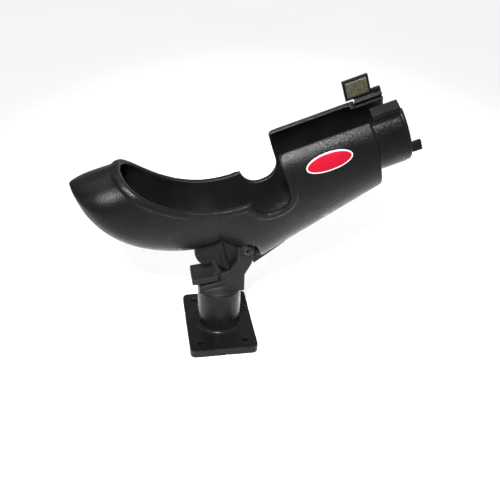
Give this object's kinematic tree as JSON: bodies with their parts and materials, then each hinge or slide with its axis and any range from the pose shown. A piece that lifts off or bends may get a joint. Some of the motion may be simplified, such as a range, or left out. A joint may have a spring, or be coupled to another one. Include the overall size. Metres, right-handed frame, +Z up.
{
  "type": "rod holder",
  "caption": "Boat rod holder: open trough with a closed toe, slotted tube and turning locking collar, tilting on a swivel head in a bolted deck mount.",
  "frame": {"origin": "centre of the four deck bolts, on the underside of the deck plate", "axes": "+Z up out of the deck along the swivel axis, +X along the holder towards the tube's open end, +Y to the far side"},
  "size_m": [0.3343, 0.1016, 0.2809],
  "materials": {
    "black_nylon": "satin, finely textured",
    "lever_nylon": "satin",
    "white_acetal": "smooth",
    "black_rubber": "matte",
    "stainless_steel": "brushed",
    "blackened_steel": "black coating, semi-gloss",
    "badge_red": "printed label, semi-gloss",
    "badge_white": "printed label, semi-gloss",
    "olive_pad": "fine ribs, worn"
  },
  "bodies": {
    "mount": {"deck_mount": "black_nylon", "thrust_washer": "black_nylon"},
    "swivel": {"swivel_head": "black_nylon", "friction_ring": "black_rubber", "stem_washer": "stainless_steel", "stem_screw": "stainless_steel", "lever_pin": "blackened_steel", "lever_pin_clips": "blackened_steel", "lever_spring": "stainless_steel", "tilt_bolt": "blackened_steel", "tilt_washers": "blackened_steel", "tilt_nut": "blackened_steel"},
    "cradle": {"cradle": "black_nylon", "pivot_bush": "white_acetal", "badge": "badge_red", "badge_border": "badge_white", "retaining_ring": "black_nylon", "ring_screws": "stainless_steel"},
    "collar": {"locking_collar": "black_nylon", "thumb_pad": "olive_pad"},
    "lever": {"release_lever": "lever_nylon"}
  },
  "joints": [
    {"name": "swivel_turn", "type": "hinge", "parent": "mount", "child": "swivel", "pos_m": [0, 0, 0], "axis": [0, 0, 1], "continuous": true},
    {"name": "cradle_tilt", "type": "hinge", "parent": "swivel", "child": "cradle", "pos_m": [0.026, 0, 0.112], "axis": [0, -1, 0], "range_deg": [-25, 12]},
    {"name": "collar_turn", "type": "hinge", "parent": "cradle", "child": "collar", "pos_m": [0.1589, 0, 0.23285], "axis": [0.9455, 0, 0.3256], "range_deg": [0, 115]},
    {"name": "lever_press", "type": "hinge", "parent": "swivel", "child": "lever", "pos_m": [0.005, 0, 0.0722], "axis": [0, -1, 0], "range_deg": [0, 7], "stiffness_Nm_per_rad": 0.6, "springref_deg": -9.74, "deforming": ["lever_spring"]}
  ]
}
